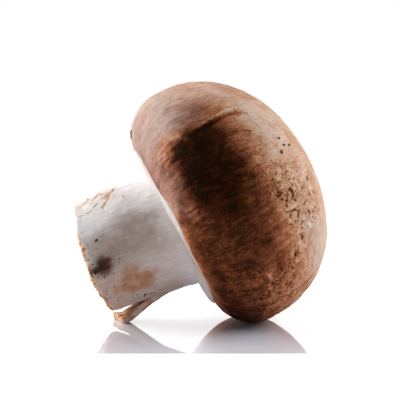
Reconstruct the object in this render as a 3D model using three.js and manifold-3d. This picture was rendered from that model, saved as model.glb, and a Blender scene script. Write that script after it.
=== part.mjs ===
// A closed-cap portobello mushroom, picked and trimmed, lying on its side.
//
// It rests on two places: a small flat where the side of the cap presses on the table, and the
// tip of a flap of skin that has peeled away from the lower side of the stem.
//
// Units are millimetres and +Z is up. The table is z = 0. +X runs along the lying mushroom, from
// the cut stem end towards the dome of the cap, and the mushroom is the same on both sides of the
// XZ plane apart from small natural irregularities. The origin is on the table, below the middle
// of the whole mushroom.
//
// Cap and stem each have a turned frame of their own: +Y along the growth axis towards the dome,
// +X towards the table, and +Z towards the front, which is -Y of the part. A bearing is the angle
// around that growth axis, from the front (0) towards the table (90 degrees).
import * as THREE from "three";
import { mergeVertices } from "three/addons/utils/BufferGeometryUtils.js";
import Module from "manifold-3d";

const wasm = await Module();
wasm.setup();

const DEG = Math.PI / 180;

// Cap, measured from its margin plane, where the rolled edge is lowest.
const CAP_DIAMETER = 60;
const CAP_HEIGHT = 35.6;
const CAP_WIDEST_AT = 10.7; // height of the widest ring above the margin plane
const CAP_DOME_POWER = 2.18; // superellipse power of the dome: 2 is an ellipse
const MARGIN_ROLL = 10.4; // how far the rolled edge comes back in below the widest ring
const CAP_TILT = 27.3 * DEG; // of the growth axis above the table
const OUT_OF_ROUND = 0.01; // share of the radius the cap's sides swell and narrow by
const CONTACT_FLAT = 0.35; // depth pressed flat where the cap rests on the table
const DENT = { height: 12.5, bearing: -19 * DEG, radius: 11, depth: 0.9 };

// Stem, measured from the margin plane towards the cut end.
const STEM_RADIUS = 14.1;
const STEM_LENGTH = 22.5;
const STEM_ROOT = 6; // how far it is drawn past the margin plane before it is trimmed there
const STEM_BEND = 9 * DEG; // between the stem's axis and the cap's
const STEM_OFFSET = 0.5; // of the stem from the middle of the cap, towards the table
const STEM_FLARE = { atCap: 0.99, atEnd: 1.02 }; // share of the radius at either end
const STEM_EDGE_ROUND = 1.6; // rounding of the trimmed end
const STEM_END_DOME = 0.9; // how far the trimmed face bulges
const WORN_EDGE = { share: 0.11, bearing: -70 * DEG, from: 15 }; // the end's upper edge, worn away

// Flap of peeled skin below the stem.
const FLAP_ROOT_AT = 9.2; // distance from the margin plane where the flap leaves the stem
const FLAP_LENGTH = 11.3;
const FLAP_WIDTH = 9;
const FLAP_THICKNESS = 1.6;
const FLAP_SIDEWAYS = 0.6; // of its middle from the XZ plane, along Y of the part
const FLAP_SAG = 0.2; // how far its lower side swells below the stem's before it turns down
const FLAP_ROOT_DEPTH = 2.5; // how deep it is rooted in the stem
const FLAP_TIP = 1.3; // length of the tip that lies on the table
const PEEL_DEPTH = 0.9; // how much skin is missing from the stem above the flap
// The bare patch fades in along the stem, in mm either side of the flap's root, and out
// across it, in half widths of the flap.
const PEEL_FADE = { start: 0.5, full: 4, inside: 0.8, outside: 1.35 };

// Veil, the skin that closes the underside between the cap's edge and the stem.
const VEIL_RADIUS = 22.2;
const VEIL_THICKNESS = 0.5;
const VEIL_BULGE = 0.6; // how far it sags between its edge and the stem

const GAP = 0.3; // clearance between neighbouring solids
const CAP_SEGMENTS = 72;
const STEM_SEGMENTS = 60;
const STEM_RINGS = 10;
const WIDE = 200; // larger than the mushroom, for the solids that only cut

const skin = new THREE.MeshStandardMaterial({ color: 0x9a6243, roughness: 0.6, metalness: 0 });
const flesh = new THREE.MeshStandardMaterial({ color: 0xe6dfd9, roughness: 0.75, metalness: 0 });
const veilTissue = new THREE.MeshStandardMaterial({ color: 0xf2eeea, roughness: 0.8, metalness: 0 });
const peat = new THREE.MeshStandardMaterial({ color: 0x2a1c14, roughness: 0.95, metalness: 0 });

// Smooth 0 to 1 step between two values.
function smoothstep(from, to, value) {
  const t = THREE.MathUtils.clamp((value - from) / (to - from), 0, 1);
  return t * t * (3 - 2 * t);
}

// A closed three.js geometry as a solid that can be joined and cut.
function solidOf(geometry) {
  const bare = geometry.clone();
  bare.deleteAttribute("normal");
  bare.deleteAttribute("uv");
  const merged = mergeVertices(bare, 1e-4);
  const corners = merged.index.array;
  const kept = [];
  for (let i = 0; i < corners.length; i += 3) {
    const [a, b, c] = corners.slice(i, i + 3);
    if (a !== b && b !== c && c !== a) kept.push(a, b, c);
  }
  return new wasm.Manifold(
    new wasm.Mesh({
      numProp: 3,
      vertProperties: merged.attributes.position.array,
      triVerts: new Uint32Array(kept),
    }),
  );
}

function geometryOf(solid) {
  const { vertProperties, triVerts } = solid.getMesh();
  const geometry = new THREE.BufferGeometry();
  geometry.setAttribute("position", new THREE.BufferAttribute(new Float32Array(vertProperties), 3));
  geometry.setIndex(new THREE.BufferAttribute(new Uint32Array(triVerts), 1));
  geometry.computeVertexNormals();
  return geometry;
}

// Moves each vertex of a geometry by a function that changes it in place.
function reshape(geometry, change) {
  const position = geometry.getAttribute("position");
  const point = new THREE.Vector3();
  for (let i = 0; i < position.count; i++) {
    change(point.fromBufferAttribute(position, i));
    position.setXYZ(i, point.x, point.y, point.z);
  }
  return geometry;
}

// A turned frame whose +Y is tilted above the table, with +X towards the table.
function tiltedGroup(tilt) {
  const group = new THREE.Group();
  group.setRotationFromMatrix(
    new THREE.Matrix4().makeBasis(
      new THREE.Vector3(Math.sin(tilt), 0, -Math.cos(tilt)),
      new THREE.Vector3(Math.cos(tilt), 0, Math.sin(tilt)),
      new THREE.Vector3(0, -1, 0),
    ),
  );
  return group;
}

// Radius of the cap's outside at a height above the margin plane.
function capRadiusAt(height) {
  const widest = CAP_DIAMETER / 2;
  if (height >= CAP_WIDEST_AT) {
    const share = (height - CAP_WIDEST_AT) / (CAP_HEIGHT - CAP_WIDEST_AT);
    return widest * Math.pow(Math.max(0, 1 - Math.pow(share, CAP_DOME_POWER)), 1 / CAP_DOME_POWER);
  }
  const share = (CAP_WIDEST_AT - height) / CAP_WIDEST_AT;
  return widest - MARGIN_ROLL + MARGIN_ROLL * Math.sqrt(Math.max(0, 1 - share * share));
}

// Height of the cap's underside above the margin plane at a radius.
function capUndersideAt(radius) {
  const share = Math.max(0, radius - CAP_DIAMETER / 2 + MARGIN_ROLL) / MARGIN_ROLL;
  return CAP_WIDEST_AT * (1 - Math.sqrt(1 - share * share));
}

// Outline from the margin plane's middle, round the rolled edge and up to the top of the dome.
function capOutline(rollSteps, domeSteps) {
  const outline = [new THREE.Vector2(0, 0)];
  for (let i = 0; i <= rollSteps; i++) {
    const turn = (i / rollSteps) * (Math.PI / 2);
    const height = CAP_WIDEST_AT * (1 - Math.cos(turn));
    outline.push(new THREE.Vector2(capRadiusAt(height), height));
  }
  for (let i = 1; i < domeSteps; i++) {
    const turn = (i / domeSteps) * (Math.PI / 2);
    const height = CAP_WIDEST_AT + (CAP_HEIGHT - CAP_WIDEST_AT) * Math.sin(turn);
    outline.push(new THREE.Vector2(capRadiusAt(height), height));
  }
  outline.push(new THREE.Vector2(0, CAP_HEIGHT));
  return outline;
}

// The cap isn't quite round, and its side has one broad shallow dent.
function growCap(point) {
  const bearing = Math.atan2(point.x, point.z);
  const round = 1 + OUT_OF_ROUND * (Math.sin(2 * bearing) + 0.5 * Math.cos(3 * bearing));
  point.x *= round;
  point.z *= round;
  const middle = new THREE.Vector3(Math.sin(DENT.bearing), 0, Math.cos(DENT.bearing));
  middle.multiplyScalar(capRadiusAt(DENT.height)).setY(DENT.height);
  const share = point.distanceTo(middle) / DENT.radius;
  const inward = DENT.depth * Math.exp(-share * share);
  point.x -= inward * Math.sin(DENT.bearing);
  point.z -= inward * Math.cos(DENT.bearing);
}

// How high the margin plane's middle stands when the cap rests on its side.
function capCentreHeight() {
  const depths = capOutline(40, 40).map((p) => p.x * Math.cos(CAP_TILT) - p.y * Math.sin(CAP_TILT));
  return Math.max(...depths) - CONTACT_FLAT;
}

// A block with its top at the table, in the frame of a group.
function blockUnderTable(group) {
  group.updateWorldMatrix(true, false);
  const block = new THREE.BoxGeometry(WIDE, WIDE, WIDE).translate(0, 0, -WIDE / 2);
  return solidOf(block.applyMatrix4(group.matrixWorld.clone().invert()));
}

function makeCap(capGroup) {
  const turned = reshape(new THREE.LatheGeometry(capOutline(9, 18), CAP_SEGMENTS), growCap);
  return solidOf(turned).subtract(blockUnderTable(capGroup));
}

// The stem's outline, from the cut end's middle to its top, heights negative towards the cut end.
function stemOutline(radius, top) {
  const end = -STEM_LENGTH;
  const outline = [new THREE.Vector2(0, end)];
  for (let i = 1; i <= 4; i++) {
    const share = i / 4;
    const reach = (radius - STEM_EDGE_ROUND) * share;
    outline.push(new THREE.Vector2(reach, end + STEM_END_DOME * share * share));
  }
  for (let i = 1; i <= 4; i++) {
    const turn = (i / 4) * (Math.PI / 2);
    const reach = radius - STEM_EDGE_ROUND * (1 - Math.sin(turn));
    outline.push(new THREE.Vector2(reach, end + STEM_END_DOME + STEM_EDGE_ROUND * (1 - Math.cos(turn))));
  }
  const start = end + STEM_END_DOME + STEM_EDGE_ROUND;
  for (let i = 1; i <= STEM_RINGS; i++) {
    outline.push(new THREE.Vector2(radius, THREE.MathUtils.lerp(start, top, i / STEM_RINGS)));
  }
  outline.push(new THREE.Vector2(0, top));
  return outline;
}

// The stem swells a little towards its cut end, is worn on the end's upper edge, and has lost
// its skin above the flap.
function growStem(point) {
  const fromMargin = -point.y;
  const bearing = Math.atan2(point.x, point.z);
  const { atCap, atEnd } = STEM_FLARE;
  let scale = THREE.MathUtils.lerp(atCap, atEnd, smoothstep(0, STEM_LENGTH, fromMargin));
  const upper = Math.max(0, Math.cos(bearing - WORN_EDGE.bearing));
  scale *= 1 - WORN_EDGE.share * upper * smoothstep(WORN_EDGE.from, STEM_LENGTH, fromMargin);
  if (point.x > STEM_RADIUS / 2) {
    const across = Math.abs(point.z + FLAP_SIDEWAYS) / (FLAP_WIDTH / 2);
    const along = smoothstep(FLAP_ROOT_AT - PEEL_FADE.start, FLAP_ROOT_AT + PEEL_FADE.full, fromMargin);
    const peeled = along * (1 - smoothstep(PEEL_FADE.inside, PEEL_FADE.outside, across));
    scale -= (PEEL_DEPTH / STEM_RADIUS) * peeled;
  }
  point.x *= scale;
  point.z *= scale;
}

// Side outline of the flap in the stem's frame, with its lower tip on the table.
function flapOutline(tableAt) {
  const under = STEM_RADIUS + FLAP_SAG;
  const inside = STEM_RADIUS - FLAP_ROOT_DEPTH;
  const rootStart = 1 - FLAP_ROOT_AT;
  const rootEnd = -FLAP_ROOT_AT - 0.3 * FLAP_LENGTH;
  const middle = -FLAP_ROOT_AT - 0.45 * FLAP_LENGTH;
  const tip = -FLAP_ROOT_AT - FLAP_LENGTH;
  const flap = new THREE.Shape();
  flap.moveTo(inside, rootStart);
  flap.lineTo(STEM_RADIUS - GAP, rootStart);
  flap.quadraticCurveTo(under, rootEnd, tableAt(tip + FLAP_TIP), tip + FLAP_TIP);
  flap.lineTo(tableAt(tip), tip);
  flap.lineTo(tableAt(tip) - FLAP_THICKNESS, tip);
  flap.quadraticCurveTo(under - FLAP_THICKNESS / 2, middle, under - FLAP_THICKNESS, rootEnd);
  flap.lineTo(inside, rootEnd);
  flap.closePath();
  return flap;
}

function makeFlap(stemGroup) {
  stemGroup.updateWorldMatrix(true, false);
  const origin = new THREE.Vector3().setFromMatrixPosition(stemGroup.matrixWorld);
  const tilt = CAP_TILT - STEM_BEND;
  const tableAt = (along) => (origin.z + along * Math.sin(tilt)) / Math.cos(tilt);
  const options = { depth: FLAP_WIDTH, bevelEnabled: false, curveSegments: 6 };
  const flat = new THREE.ExtrudeGeometry(flapOutline(tableAt), options);
  return solidOf(flat.translate(0, 0, -FLAP_WIDTH / 2 - FLAP_SIDEWAYS));
}

function turnedStem(extraRadius) {
  const outline = stemOutline(STEM_RADIUS + extraRadius, STEM_ROOT);
  return solidOf(reshape(new THREE.LatheGeometry(outline, STEM_SEGMENTS), growStem));
}

// A solid of the cap's frame, moved into the stem's.
function intoStem(geometry, capGroup, stemGroup) {
  capGroup.updateWorldMatrix(true, false);
  stemGroup.updateWorldMatrix(true, false);
  const move = stemGroup.matrixWorld.clone().invert().multiply(capGroup.matrixWorld);
  return geometry.applyMatrix4(move);
}

function makeStem(capGroup, stemGroup) {
  const aboveMargin = new THREE.BoxGeometry(WIDE, WIDE, WIDE).translate(0, WIDE / 2 - GAP, 0);
  return turnedStem(0)
    .add(makeFlap(stemGroup))
    .subtract(solidOf(intoStem(aboveMargin, capGroup, stemGroup)))
    .subtract(blockUnderTable(stemGroup));
}

// A ring under the cap that sags between the cap's edge and the stem, with the stem's room. Its
// outer part follows the cap's rolled edge.
function makeVeil(capGroup, stemGroup) {
  const inner = STEM_RADIUS - 1;
  const steps = 12;
  const above = [];
  const below = [];
  for (let i = 0; i <= steps; i++) {
    const radius = inner + ((VEIL_RADIUS - inner) * i) / steps;
    const top = capUndersideAt(radius) - GAP;
    const edge = smoothstep(VEIL_RADIUS, VEIL_RADIUS - 4, radius);
    const thickness = VEIL_THICKNESS * (0.4 + 0.6 * edge) + VEIL_BULGE * edge;
    above.unshift(new THREE.Vector2(radius, top));
    below.push(new THREE.Vector2(radius, top - thickness));
  }
  const axisAbove = new THREE.Vector2(0, above[steps].y);
  const axisBelow = new THREE.Vector2(0, below[0].y);
  capGroup.updateWorldMatrix(true, false);
  stemGroup.updateWorldMatrix(true, false);
  const room = geometryOf(turnedStem(GAP));
  room.applyMatrix4(capGroup.matrixWorld.clone().invert().multiply(stemGroup.matrixWorld));
  const disc = new THREE.LatheGeometry([axisBelow, ...below, ...above, axisAbove], CAP_SEGMENTS);
  return solidOf(disc).subtract(solidOf(room));
}

// A crumb of peat: a rough lump with a flat base at y = 0.
function makeCrumb({ length, width, height, turn }) {
  const base = -0.3;
  const lump = reshape(new THREE.IcosahedronGeometry(1, 1), (point) => {
    point.multiplyScalar(1 + 0.16 * Math.sin(5.1 * point.x + 3.3 * point.y + 7.7 * point.z));
    point.y = Math.max(point.y, base) - base;
  });
  return lump.scale(length / 2, height / 1.3, width / 2).rotateY(turn);
}

// Puts a crumb on a turned surface, its base just clear of it.
function placeCrumb(group, name, crumb, radius, height, lean) {
  const mesh = new THREE.Mesh(makeCrumb(crumb), peat);
  mesh.name = name;
  const out = new THREE.Vector3(Math.sin(crumb.bearing), 0, Math.cos(crumb.bearing));
  const normal = out.clone().multiplyScalar(Math.cos(lean)).setY(Math.sin(lean));
  mesh.position.copy(out.multiplyScalar(radius).setY(height)).addScaledVector(normal, GAP);
  mesh.quaternion.setFromUnitVectors(new THREE.Vector3(0, 1, 0), normal.normalize());
  group.add(mesh);
}

// Crumbs that stick to the cap, by height above the margin plane and bearing.
const CAP_CRUMBS = [
  { name: "peat_flake_cap_edge", at: 1.15, bearing: -90 * DEG, length: 3.2, width: 1.5, height: 0.6, turn: 0.1 },
  { name: "peat_crumb_cap_1", at: 29.5, bearing: -26 * DEG, length: 0.9, width: 0.6, height: 0.5, turn: 0.4 },
  { name: "peat_crumb_cap_2", at: 29.8, bearing: -21 * DEG, length: 0.8, width: 0.7, height: 0.5, turn: 1.2 },
  { name: "peat_crumb_cap_3", at: 31.2, bearing: -21 * DEG, length: 1.1, width: 0.6, height: 0.5, turn: 0.8 },
  { name: "peat_crumb_cap_4", at: 28.3, bearing: -17 * DEG, length: 1.3, width: 0.7, height: 0.6, turn: 2.5 },
];

// Crumbs that stick to the stem, by distance from the margin plane and bearing.
const STEM_CRUMBS = [
  { name: "peat_lump_stem", at: -19.6, bearing: 5 * DEG, length: 1.4, width: 2.2, height: 0.8, turn: 0.6 },
  { name: "peat_crumb_stem_1", at: -12.1, bearing: 53 * DEG, length: 0.9, width: 0.8, height: 0.5, turn: 0.3 },
  { name: "peat_crumb_stem_2", at: -18.9, bearing: -21 * DEG, length: 0.8, width: 0.7, height: 0.5, turn: 1.9 },
];

function named(name, geometry, material) {
  const mesh = new THREE.Mesh(geometry, material);
  mesh.name = name;
  return mesh;
}

function makeMushroom() {
  const capGroup = tiltedGroup(CAP_TILT);
  capGroup.position.z = capCentreHeight();
  const stemGroup = new THREE.Group();
  stemGroup.position.x = STEM_OFFSET;
  stemGroup.rotation.z = -STEM_BEND;
  capGroup.add(stemGroup);

  capGroup.add(named("cap", geometryOf(makeCap(capGroup)), skin));
  capGroup.add(named("veil", geometryOf(makeVeil(capGroup, stemGroup)), veilTissue));
  stemGroup.add(named("stem", geometryOf(makeStem(capGroup, stemGroup)), flesh));

  for (const crumb of CAP_CRUMBS) {
    const slope = (capRadiusAt(crumb.at + 0.1) - capRadiusAt(crumb.at - 0.1)) / 0.2;
    placeCrumb(capGroup, crumb.name, crumb, capRadiusAt(crumb.at), crumb.at, Math.atan(-slope));
  }
  for (const crumb of STEM_CRUMBS) {
    placeCrumb(stemGroup, crumb.name, crumb, STEM_RADIUS * 1.01, crumb.at, 0);
  }
  return capGroup;
}

// Centres the mushroom over the origin.
const lying = new THREE.Group();
lying.add(makeMushroom());
lying.updateWorldMatrix(true, true);
const middle = new THREE.Box3().setFromObject(lying, true).getCenter(new THREE.Vector3());
lying.position.set(-middle.x, -middle.y, 0);

const mushroom = new THREE.Group();
mushroom.add(lying);
export default mushroom;
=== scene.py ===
"""A closed-cap portobello mushroom that lies on a glossy white table.

Each sub-assembly is a class: the cap with its skin, the veil under it, the trimmed stem with its
peeled flap, the bits of peat, and the studio. Sizes inside a class are millimetres in a growth
frame (see GrowthAxes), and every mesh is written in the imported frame's metres.
"""
import logging
import math
from collections.abc import Iterable, Sequence
from dataclasses import dataclass, field
from enum import Enum

import bmesh
import bpy
import numpy as np
from bpy.types import Material, Mesh, NodeSocket, NodeTree, Object
from mathutils import Matrix, Vector, noise
from mathutils.bvhtree import BVHTree


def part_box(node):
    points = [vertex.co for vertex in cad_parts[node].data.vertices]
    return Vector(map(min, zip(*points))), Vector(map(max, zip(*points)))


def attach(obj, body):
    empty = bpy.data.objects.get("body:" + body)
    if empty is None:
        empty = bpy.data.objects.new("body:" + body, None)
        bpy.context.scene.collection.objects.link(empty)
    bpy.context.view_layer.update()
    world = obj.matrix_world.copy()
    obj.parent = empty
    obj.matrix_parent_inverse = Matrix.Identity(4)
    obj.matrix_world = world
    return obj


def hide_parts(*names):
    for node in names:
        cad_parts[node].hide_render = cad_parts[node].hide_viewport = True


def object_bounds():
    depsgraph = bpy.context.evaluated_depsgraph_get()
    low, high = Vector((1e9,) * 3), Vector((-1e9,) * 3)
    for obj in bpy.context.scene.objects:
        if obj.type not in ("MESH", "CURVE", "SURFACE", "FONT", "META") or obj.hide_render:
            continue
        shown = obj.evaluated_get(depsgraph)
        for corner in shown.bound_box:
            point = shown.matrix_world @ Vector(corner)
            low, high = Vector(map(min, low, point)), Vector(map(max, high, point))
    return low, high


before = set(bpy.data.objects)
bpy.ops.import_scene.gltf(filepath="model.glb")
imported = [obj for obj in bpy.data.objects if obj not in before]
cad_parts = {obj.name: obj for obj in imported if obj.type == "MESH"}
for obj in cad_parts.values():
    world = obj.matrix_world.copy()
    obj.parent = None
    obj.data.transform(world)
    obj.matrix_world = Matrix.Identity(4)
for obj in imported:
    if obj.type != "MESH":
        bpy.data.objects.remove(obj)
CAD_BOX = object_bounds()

LOG = logging.getLogger("mushroom")
MM = 0.001
BODY = "root"
MIX_FACTOR, MIX_A, MIX_B, MIX_RESULT = 0, 6, 7, 2   # sockets of a colour Mix node


class Slot(Enum):
    """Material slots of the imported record."""

    CAP_SKIN = "cap_skin"
    VEIL = "veil_tissue"
    STEM = "stem_flesh"
    PEAT = "peat"


def linear(hex_colour: str) -> tuple[float, float, float, float]:
    """Turns an sRGB hex colour to linear RGBA.

    Args:
        hex_colour: Six hex digits, such as "9a6243".

    Returns:
        Linear red, green and blue with an alpha of 1.
    """
    shares = [int(hex_colour[i:i + 2], 16) / 255 for i in (0, 2, 4)]
    red, green, blue = (s / 12.92 if s <= 0.04045 else ((s + 0.055) / 1.055) ** 2.4 for s in shares)
    return red, green, blue, 1.0


def connect(tree: NodeTree, socket: NodeSocket, value: object) -> None:
    """Feeds an input from an output socket, or sets it to a plain value.

    Args:
        tree: The node tree.
        socket: The input.
        value: What it gets.
    """
    if isinstance(value, NodeSocket):
        tree.links.new(value, socket)
    else:
        socket.default_value = value


def add_node(tree: NodeTree, kind: str, output: str | int, inputs: dict | None = None,
             **settings: object) -> NodeSocket:
    """Adds a node with its settings and links.

    Args:
        tree: The material's or world's node tree.
        kind: The node's type name, without "ShaderNode".
        output: Name or number of the output that is wanted.
        inputs: Socket name or number to a value, or to the output socket that feeds it.
        settings: Properties of the node, such as operation="ADD".

    Returns:
        The wanted output socket.
    """
    node = tree.nodes.new("ShaderNode" + kind)
    for name, value in settings.items():
        setattr(node, name, value)
    for key, value in (inputs or {}).items():
        connect(tree, node.inputs[key], value)
    return node.outputs[output]


def smoothstep(low: float, high: float, value: np.ndarray) -> np.ndarray:
    """Smooth 0 to 1 step between two values, falling where low is above high."""
    share = np.clip((value - low) / (high - low), 0.0, 1.0)
    return share * share * (3 - 2 * share)


def bell(distance: np.ndarray, width: np.ndarray | float = 1.0) -> np.ndarray:
    """1 at no distance, falling softly to a third at the width and to 0 beyond twice that."""
    return np.exp(-(distance / width) ** 2)


def noise_field(points: np.ndarray, size: float, seed: float, octaves: int = 3) -> np.ndarray:
    """Smooth noise at each point.

    Args:
        points: Positions, one row each.
        size: Width of the largest blobs, in the unit of the points.
        seed: Shift that picks another stretch of the noise.
        octaves: How many sizes of blob are summed.

    Returns:
        Values between about -1 and 1.
    """
    shifted = points / size + seed
    return np.array([noise.fractal(Vector(p), 1.0, 2.0, octaves) for p in shifted.tolist()])


def bearings(points: np.ndarray) -> np.ndarray:
    """The bearing of each local position, in radians."""
    return np.arctan2(points[:, 0], points[:, 2])


def wound(bearing: np.ndarray, radius: np.ndarray | float, along: np.ndarray | float) -> np.ndarray:
    """Points for a pattern that follows a turned surface: two numbers round it, one along it."""
    return np.stack(np.broadcast_arrays(
        np.sin(bearing) * radius, np.cos(bearing) * radius, along), axis=1)


# ---- growth frames


@dataclass(frozen=True)
class GrowthAxes:
    """The turned frame of the cap or of the stem.

    Local units are millimetres. +Y grows towards the dome, +X points to the table and +Z to the
    front. A bearing is the angle round +Y, from the front (0) towards the table (90 degrees).
    """

    origin: Vector
    turn: Matrix

    @classmethod
    def of_flat(cls, node: Object) -> "GrowthAxes":
        """Finds the frame of a node that has one large flat at right angles to its growth.

        Args:
            node: The CAD node. Its largest flat faces away from the dome.

        Returns:
            Axes with their origin at the middle of that flat.
        """
        flats: dict[tuple, list] = {}
        for face in node.data.polygons:
            key = tuple(round(c, 2) for c in face.normal)
            flats.setdefault(key, []).append(face)
        faces = max(flats.values(), key=lambda group: sum(f.area for f in group))
        area = sum(f.area for f in faces)
        growth = -sum((f.normal * f.area for f in faces), Vector()).normalized()
        middle = sum((f.center * f.area for f in faces), Vector()) / area
        to_table = Vector((growth.z, 0.0, -growth.x)).normalized()
        turn = Matrix((to_table, growth, to_table.cross(growth))).transposed()
        return cls(middle, turn)

    def bent(self, angle: float, offset: float) -> "GrowthAxes":
        """Axes bent towards the table.

        Args:
            angle: Bend about the front axis, in degrees.
            offset: Shift of the origin towards the table, in millimetres.

        Returns:
            The bent axes.
        """
        moved = self.origin + self.turn @ Vector((offset * MM, 0.0, 0.0))
        return GrowthAxes(moved, self.turn @ Matrix.Rotation(math.radians(-angle), 3, "Z"))

    def to_world(self, local: np.ndarray) -> np.ndarray:
        """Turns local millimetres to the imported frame's metres."""
        return local @ np.array(self.turn).T * MM + np.array(self.origin)

    def local_millimetres(self, tree: NodeTree) -> NodeSocket:
        """Adds the nodes that give a material its local position in millimetres."""
        return add_node(tree, "Mapping", "Vector", {
            "Vector": add_node(tree, "TexCoord", "Object"), "Location": self.origin,
            "Rotation": self.turn.to_euler("XYZ"), "Scale": (MM, MM, MM)}, vector_type="TEXTURE")


@dataclass(frozen=True)
class SkinMap:
    """Where each vertex lies on a turned surface: bearing in radians, run and radius in mm.

    The run is the distance along the skin, at right angles to the bearing.
    """

    bearing: np.ndarray
    run: np.ndarray
    radius: np.ndarray

    def turned(self, bearing: float) -> np.ndarray:
        """Signed turn from a bearing in degrees, in radians."""
        turn = self.bearing - math.radians(bearing)
        return np.arctan2(np.sin(turn), np.cos(turn))

    def across(self, bearing: float) -> np.ndarray:
        """Signed distance round the surface from a bearing in degrees, in mm."""
        return self.turned(bearing) * self.radius

    def shifted(self, turn: np.ndarray | float, run: np.ndarray | float = 0.0) -> "SkinMap":
        """The same skin read further round, in radians, and further along, in mm."""
        return SkinMap(self.bearing + turn, self.run + run, self.radius)

    def spot(self, bearing: float, run: float, around: float, along: float,
             turn: float = 0.0) -> np.ndarray:
        """Distance from an oval spot's middle, in shares of its size.

        Args:
            bearing: Bearing of the middle, in degrees.
            run: Run of the middle, in mm.
            around: Half its size round the surface, in mm.
            along: Half its size along the run, in mm.
            turn: Turn of the spot on the surface, in degrees.

        Returns:
            0 at the middle and 1 at the spot's edge.
        """
        u, v = self.across(bearing), self.run - run
        c, s = math.cos(math.radians(turn)), math.sin(math.radians(turn))
        return np.hypot((u * c + v * s) / around, (v * c - u * s) / along)

    def from_path(self, path: Sequence[tuple[float, float]]) -> np.ndarray:
        """Distance from a line drawn on the skin.

        Args:
            path: The line's points: bearing in degrees, run in mm.

        Returns:
            The distance of each vertex, in mm.
        """
        nearest = np.full(len(self.run), np.inf)
        for (b0, r0), (b1, r1) in zip(path, path[1:]):
            u, v = self.across(b0), self.run - r0
            du = math.radians(b1 - b0) * self.radius
            dv = r1 - r0
            share = np.clip((u * du + v * dv) / (du * du + dv * dv), 0, 1)
            nearest = np.minimum(nearest, np.hypot(u - share * du, v - share * dv))
        return nearest


@dataclass(frozen=True)
class Patch:
    """A soft-edged four-sided area of skin.

    Left and right are bearings in degrees, and low and high are runs in mm. Soft holds the widths
    of the left, right, low and high edges, in the same units.
    """

    left: float
    right: float
    low: float
    high: float
    soft: tuple[float, float, float, float]
    amount: float = 1.0

    def on(self, skin: SkinMap) -> np.ndarray:
        """Lays the patch on a skin.

        Args:
            skin: Where each vertex lies.

        Returns:
            The patch's strength at each vertex, up to its amount.
        """
        half = (self.right - self.left) / 2
        turn = np.degrees(skin.turned((self.left + self.right) / 2))
        strength = self.amount
        edges = (turn + half, half - turn, skin.run - self.low, self.high - skin.run)
        for inside, soft in zip(edges, self.soft):
            strength = strength * smoothstep(-soft, soft, inside)
        return strength


@dataclass(frozen=True)
class Mark:
    """A small oval mark or pit: bearing in degrees, then run, half sizes and depth in mm."""

    bearing: float
    run: float
    around: float
    along: float
    depth: float = 0.0
    turn: float = 0.0

    def on(self, skin: SkinMap) -> np.ndarray:
        """1 in the middle, falling softly to 0 outside the mark."""
        return bell(skin.spot(self.bearing, self.run, self.around, self.along, self.turn))


def layered(patches: Sequence[Patch], skin: SkinMap) -> np.ndarray:
    """Lays several patches over each other, like thin washes of colour.

    Args:
        patches: The patches.
        skin: Where each vertex lies.

    Returns:
        Their joint strength at each vertex, from 0 to 1.
    """
    left = np.ones(len(skin.run))
    for patch in patches:
        left *= 1 - patch.on(skin)
    return 1 - left


# ---- meshes and pieces


def vectors(rows: bpy.types.bpy_prop_collection, key: str) -> np.ndarray:
    """Reads a vector from each row of a mesh's data.

    Args:
        rows: The mesh's vertices, or its vertex normals.
        key: The name of the vector in a row.

    Returns:
        The vectors, one row each.
    """
    flat = np.empty(len(rows) * 3, np.float32)
    rows.foreach_get(key, flat)
    return flat.reshape(-1, 3).astype(float)


def positions(mesh: Mesh) -> np.ndarray:
    """The mesh's vertex positions, one row each."""
    return vectors(mesh.vertices, "co")


def set_positions(mesh: Mesh, points: np.ndarray) -> None:
    """Moves the mesh's vertices."""
    mesh.vertices.foreach_set("co", points.astype(np.float32).ravel())
    mesh.update()


def normals(mesh: Mesh) -> np.ndarray:
    """The mesh's vertex normals, one row each."""
    return vectors(mesh.vertex_normals, "vector")


def set_attributes(mesh: Mesh, values: dict[str, np.ndarray]) -> None:
    """Writes what the material reads at each vertex.

    Args:
        mesh: The mesh.
        values: Attribute name to one number, or one row of three, for each vertex.
    """
    for name, rows in values.items():
        kind, key = ("FLOAT_VECTOR", "vector") if rows.ndim == 2 else ("FLOAT", "value")
        data = mesh.attributes.new(name, kind, "POINT").data
        data.foreach_set(key, rows.astype(np.float32).ravel())


def pressed(world: np.ndarray) -> np.ndarray:
    """Packed-frame positions with what would be below the table pressed flat on it."""
    return np.column_stack([world[:, :2], np.maximum(world[:, 2], 0.0)])


def to_mesh(bm: bmesh.types.BMesh, name: str) -> Mesh:
    """Closes a bmesh's doubles, turns its faces out and makes a smooth mesh of it.

    Args:
        bm: The shape. It is freed.
        name: The mesh's name.

    Returns:
        The mesh.
    """
    bmesh.ops.remove_doubles(bm, verts=bm.verts, dist=1e-6)
    bmesh.ops.recalc_face_normals(bm, faces=bm.faces)
    mesh = bpy.data.meshes.new(name)
    bm.to_mesh(mesh)
    bm.free()
    mesh.polygons.foreach_set("use_smooth", [True] * len(mesh.polygons))
    return mesh


def add_piece(mesh: Mesh, material: Material,
              stands_for: Sequence[str] = ()) -> Object:
    """Adds a finished mesh to the scene as a piece of the mushroom.

    Args:
        mesh: The mesh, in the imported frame's metres. The piece takes its name.
        material: The finish.
        stands_for: CAD nodes that the piece replaces.

    Returns:
        The piece.
    """
    piece = bpy.data.objects.new(mesh.name, mesh)
    bpy.context.scene.collection.objects.link(piece)
    mesh.materials.append(material)
    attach(piece, BODY)
    if stands_for:
        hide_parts(*stands_for)
    triangles = sum(len(face.vertices) - 2 for face in mesh.polygons)
    LOG.info("%s: %d triangles, stands for %s", piece.name, triangles, list(stands_for) or "-")
    return piece


def skin_tree(piece: Object) -> BVHTree:
    """A search tree of a piece's faces, for finding places on its skin."""
    return BVHTree.FromPolygons([v.co for v in piece.data.vertices],
                                [face.vertices for face in piece.data.polygons])


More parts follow.
